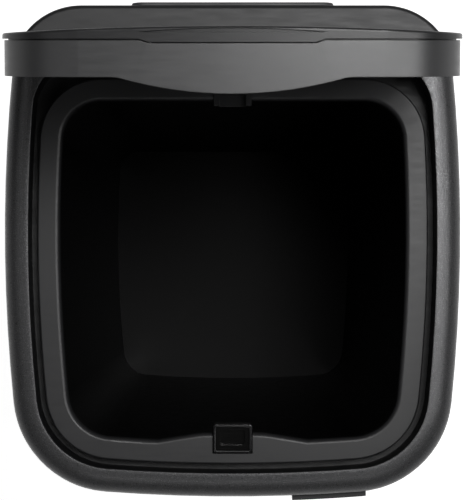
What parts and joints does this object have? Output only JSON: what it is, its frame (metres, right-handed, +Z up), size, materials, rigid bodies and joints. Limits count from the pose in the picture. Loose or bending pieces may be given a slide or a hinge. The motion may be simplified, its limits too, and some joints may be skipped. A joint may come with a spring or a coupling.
{
  "type": "kitchen compaction bin",
  "caption": "Tall free-standing kitchen bin with an open hinged lid that carries a swing-down press, a bag ring and a lift-out bucket.",
  "frame": {"origin": "centre of the body's plan on the floor", "axes": "+Z up, -Y is the front, +X is the right seen from the front"},
  "size_m": [0.324, 0.3533, 1.0293],
  "materials": {
    "shell": "speckled satin powder coat",
    "black_plastic": "fine moulded grain",
    "grey_plastic": "satin",
    "gloss_black": "polished",
    "rubber": "matt",
    "steel": "zinc plated",
    "felt": "carbon felt"
  },
  "bodies": {
    "bin": {"base_tray": "black_plastic", "foot_ring": "rubber", "body_shell": "shell", "top_collar": "black_plastic", "rear_deck": "grey_plastic", "soft_close_damper": "black_plastic", "rear_cover": "grey_plastic", "badge_plate": "gloss_black", "bucket": "gloss_black", "base_screws": "steel", "ring_hinge_pins": "steel"},
    "ring": {"bag_ring": "grey_plastic", "latch_frame": "gloss_black", "latch_spring": "steel", "rear_catch": "black_plastic"},
    "latch": {"latch_button": "gloss_black"},
    "lid": {"lid_top": "gloss_black", "lid_frame": "grey_plastic", "hinge_pins": "steel", "lid_panel": "black_plastic", "panel_screws": "steel", "filter_pad": "felt", "lid_buffers": "rubber", "stow_magnet": "steel", "press_brackets": "grey_plastic", "press_pins": "steel"},
    "press": {"press_frame": "steel", "press_plate": "grey_plastic", "press_wiper": "rubber", "press_grip": "rubber", "frame_screws": "steel"},
    "door": {"filter_door": "black_plastic", "filter_door_pins": "black_plastic"}
  },
  "joints": [
    {"name": "lid_hinge", "type": "hinge", "parent": "bin", "child": "lid", "pos_m": [0, 0.142, 0.732], "axis": [1, 0, 0], "range_deg": [0, 84.6]},
    {"name": "press_swing", "type": "hinge", "parent": "lid", "child": "press", "pos_m": [0, 0.13427, 0.75538], "axis": [-1, 0, 0], "range_deg": [-120, 0]},
    {"name": "ring_hinge", "type": "hinge", "parent": "bin", "child": "ring", "pos_m": [0, 0.128, 0.71], "axis": [1, 0, 0], "range_deg": [-60, 0]},
    {"name": "latch_press", "type": "slide", "parent": "ring", "child": "latch", "axis": [0, 0, 1], "range_m": [-0.003, 0], "stiffness_N_per_m": 300, "springref_m": 0.003, "deforming": ["latch_spring"]},
    {"name": "filter_door_hinge", "type": "hinge", "parent": "lid", "child": "door", "pos_m": [0.1325, 0.13142, 0.87363], "axis": [0, 0.0941, -0.9956], "range_deg": [-85, 0]}
  ]
}
